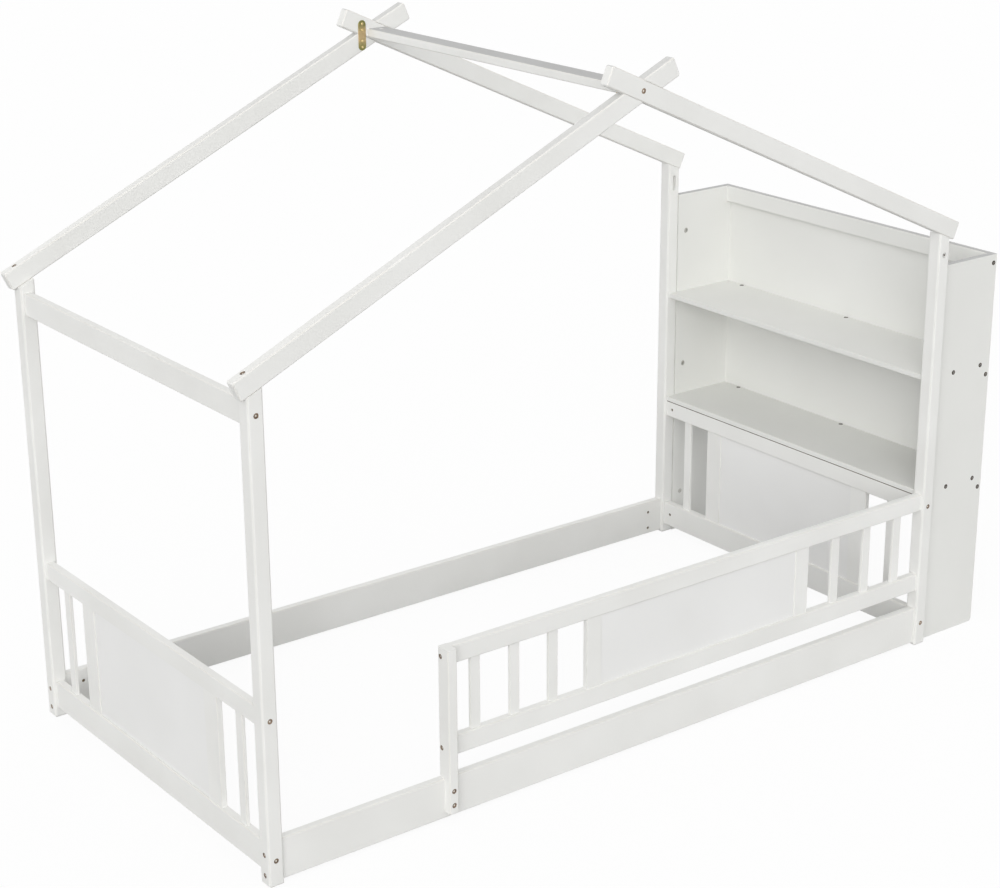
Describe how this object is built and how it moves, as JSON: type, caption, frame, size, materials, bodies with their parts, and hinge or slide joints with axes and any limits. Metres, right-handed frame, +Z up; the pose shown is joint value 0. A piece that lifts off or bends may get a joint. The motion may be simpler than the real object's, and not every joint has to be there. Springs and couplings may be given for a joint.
{
  "type": "house bed frame",
  "caption": "Low bed frame with a gabled roof frame over it, a slatted guard with a panel along one side and a shallow bookcase built on behind the headboard.",
  "frame": {"origin": "on the floor under the middle of the whole part", "axes": "+X from the foot to the bookcase at the head, +Y from the guarded side to the open side, +Z up"},
  "size_m": [2.2828, 1.071, 1.6677],
  "materials": {
    "painted_pine": "white satin paint on solid pine",
    "painted_board": "white satin paint on fibreboard",
    "bolt_bronze": "dark bronze plating",
    "nut_steel": "zinc plating",
    "brass_plate": "yellow zinc plating"
  },
  "bodies": {
    "root": {"apex_plate_far": "brass_plate", "apex_plate_near": "brass_plate", "apex_plate_screws": "brass_plate", "barrel_nuts": "nut_steel", "bookcase_back_panel": "painted_board", "bookcase_lower_back_rail": "painted_board", "bookcase_lower_shelf": "painted_board", "bookcase_middle_back_rail": "painted_board", "bookcase_screws": "nut_steel", "bookcase_side_far": "painted_board", "bookcase_side_near": "painted_board", "bookcase_top_back_rail": "painted_board", "bookcase_upper_shelf": "painted_board", "cam_bolts": "nut_steel", "cam_locks": "nut_steel", "foot_post_far": "painted_pine", "foot_post_near": "painted_pine", "foot_tie_beam": "painted_pine", "footboard_bottom_rail": "painted_pine", "footboard_panel": "painted_board", "footboard_spindle_far": "painted_pine", "footboard_spindle_near": "painted_pine", "footboard_stile_far": "painted_pine", "footboard_stile_near": "painted_pine", "footboard_top_rail": "painted_pine", "frame_bolts": "bolt_bronze", "guard_bottom_rail": "painted_pine", "guard_panel": "painted_board", "guard_post": "painted_pine", "guard_post_bolts": "bolt_bronze", "guard_rail_bolts": "bolt_bronze", "guard_spindle_1": "painted_pine", "guard_spindle_2": "painted_pine", "guard_spindle_3": "painted_pine", "guard_spindle_4": "painted_pine", "guard_spindle_5": "painted_pine", "guard_spindle_6": "painted_pine", "guard_stile_foot": "painted_pine", "guard_stile_head": "painted_pine", "guard_top_rail": "painted_pine", "head_post_far": "painted_pine", "head_post_near": "painted_pine", "headboard_bottom_rail": "painted_pine", "headboard_panel": "painted_board", "headboard_spindle_far": "painted_pine", "headboard_spindle_near": "painted_pine", "headboard_stile_far": "painted_pine", "headboard_stile_near": "painted_pine", "headboard_top_rail": "painted_pine", "insert_nuts": "nut_steel", "rafter_bolts": "bolt_bronze", "rafter_foot_far": "painted_pine", "rafter_foot_near": "painted_pine", "rafter_head_far": "painted_pine", "rafter_head_near": "painted_pine", "ridge_beam": "painted_pine", "side_rail_bolts": "bolt_bronze", "side_rail_far": "painted_pine", "side_rail_near": "painted_pine"}
  },
  "joints": []
}
